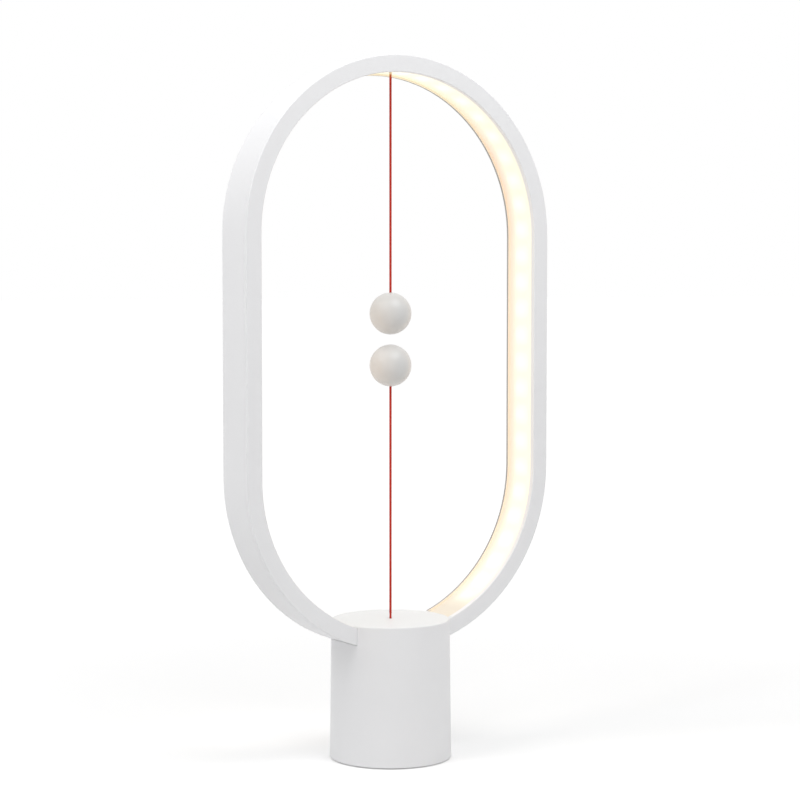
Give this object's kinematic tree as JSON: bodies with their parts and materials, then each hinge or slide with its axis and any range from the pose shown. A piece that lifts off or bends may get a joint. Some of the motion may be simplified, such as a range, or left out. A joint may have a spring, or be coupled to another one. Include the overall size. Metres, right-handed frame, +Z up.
{
  "type": "table lamp",
  "caption": "Table lamp: lit stadium hoop on a round base, with two magnetic balls on cords that hold each other in mid-air and work the pull switch.",
  "frame": {"origin": "centre of the base's footprint, on the surface that the lamp stands on", "axes": "+Z up, X across the hoop's width, Y through its depth, with the front face towards -Y"},
  "size_m": [0.201, 0.07, 0.4],
  "materials": {
    "shell_plastic": "fine matt white moulding",
    "ball_plastic": "smooth matt white",
    "diffuser": "opal white, lit from behind",
    "inner_plastic": "plain white moulding",
    "circuit_board": "white solder mask",
    "led_chip": "yellow phosphor",
    "components": "black moulded parts",
    "switch_case": "black thermoplastic",
    "switch_button": "red thermoplastic",
    "screw_steel": "bright zinc plating",
    "ballast_steel": "plain turned steel",
    "magnet": "nickel plated",
    "socket_steel": "drawn stainless steel",
    "socket_tongue": "black thermoplastic",
    "brass": "tinned brass",
    "foot_silicone": "dark grey silicone",
    "red_cord": "deep red braided cord",
    "wire_black": "black insulation",
    "wire_red": "red insulation"
  },
  "bodies": {
    "base": {"hoop_tray": "shell_plastic", "hoop_front_cover": "shell_plastic", "light_diffuser": "diffuser", "led_strip_board": "circuit_board", "led_chips": "led_chip", "hoop_end_block_left": "inner_plastic", "hoop_end_block_right": "inner_plastic", "top_cord_bush": "shell_plastic", "top_cord_knot": "red_cord", "upper_cord_stub": "red_cord", "base_shell": "shell_plastic", "cord_outlet_bush": "shell_plastic", "hoop_cradle": "inner_plastic", "cradle_screws": "screw_steel", "hoop_screws": "screw_steel", "bottom_plate": "inner_plastic", "bottom_screws": "screw_steel", "foot_ring": "foot_silicone", "ballast_weight": "ballast_steel", "ballast_screws": "screw_steel", "control_board": "circuit_board", "board_components": "components", "board_screws": "screw_steel", "power_socket_shell": "socket_steel", "power_socket_tongue": "socket_tongue", "switch_bracket": "inner_plastic", "bracket_screws": "screw_steel", "micro_switch_case": "switch_case", "micro_switch_screws": "screw_steel", "micro_switch_pins": "brass", "return_spring": "screw_steel", "led_wire_negative": "wire_black", "led_wire_positive": "wire_red", "switch_wire_common": "wire_black", "switch_wire_contact": "wire_red"},
    "switch_button": {"switch_button": "switch_button"},
    "switch_plunger": {"switch_plunger": "inner_plastic", "lower_cord_knot": "red_cord", "lower_cord_stub": "red_cord"},
    "lower_bend": {"lower_cord_bend": "red_cord"},
    "lower_pendulum": {"lower_cord": "red_cord", "lower_ball": "ball_plastic", "lower_magnet": "magnet", "lower_ball_plug": "ball_plastic", "lower_ball_knot": "red_cord"},
    "upper_bend": {"upper_cord_bend": "red_cord"},
    "upper_pendulum": {"upper_cord": "red_cord", "upper_ball": "ball_plastic", "upper_magnet": "magnet", "upper_ball_plug": "ball_plastic", "upper_ball_knot": "red_cord"}
  },
  "joints": [
    {"name": "switch_pull", "type": "slide", "parent": "base", "child": "switch_plunger", "axis": [0, 0, 1], "range_m": [-0.0025, 0], "stiffness_N_per_m": 300, "springref_m": 0.001, "deforming": ["return_spring"]},
    {"name": "button_press", "type": "slide", "parent": "base", "child": "switch_button", "axis": [0, 0, 1], "range_m": [-0.001, 0]},
    {"name": "lower_side_swing", "type": "hinge", "parent": "switch_plunger", "child": "lower_bend", "pos_m": [0, 0, 0.0836], "axis": [0, 1, 0], "range_deg": [-32, 32], "stiffness_Nm_per_rad": 0.05},
    {"name": "lower_fore_swing", "type": "hinge", "parent": "lower_bend", "child": "lower_pendulum", "pos_m": [0, 0, 0.0836], "axis": [1, 0, 0], "range_deg": [-70, 70], "stiffness_Nm_per_rad": 0.05},
    {"name": "upper_side_swing", "type": "hinge", "parent": "base", "child": "upper_bend", "pos_m": [0, 0, 0.3906], "axis": [0, 1, 0], "range_deg": [-34, 34]},
    {"name": "upper_fore_swing", "type": "hinge", "parent": "upper_bend", "child": "upper_pendulum", "pos_m": [0, 0, 0.3906], "axis": [1, 0, 0], "range_deg": [-60, 60]}
  ],
  "couplings": [
    {"joint": "button_press", "follows": "switch_pull", "ratio": 0.4}
  ]
}
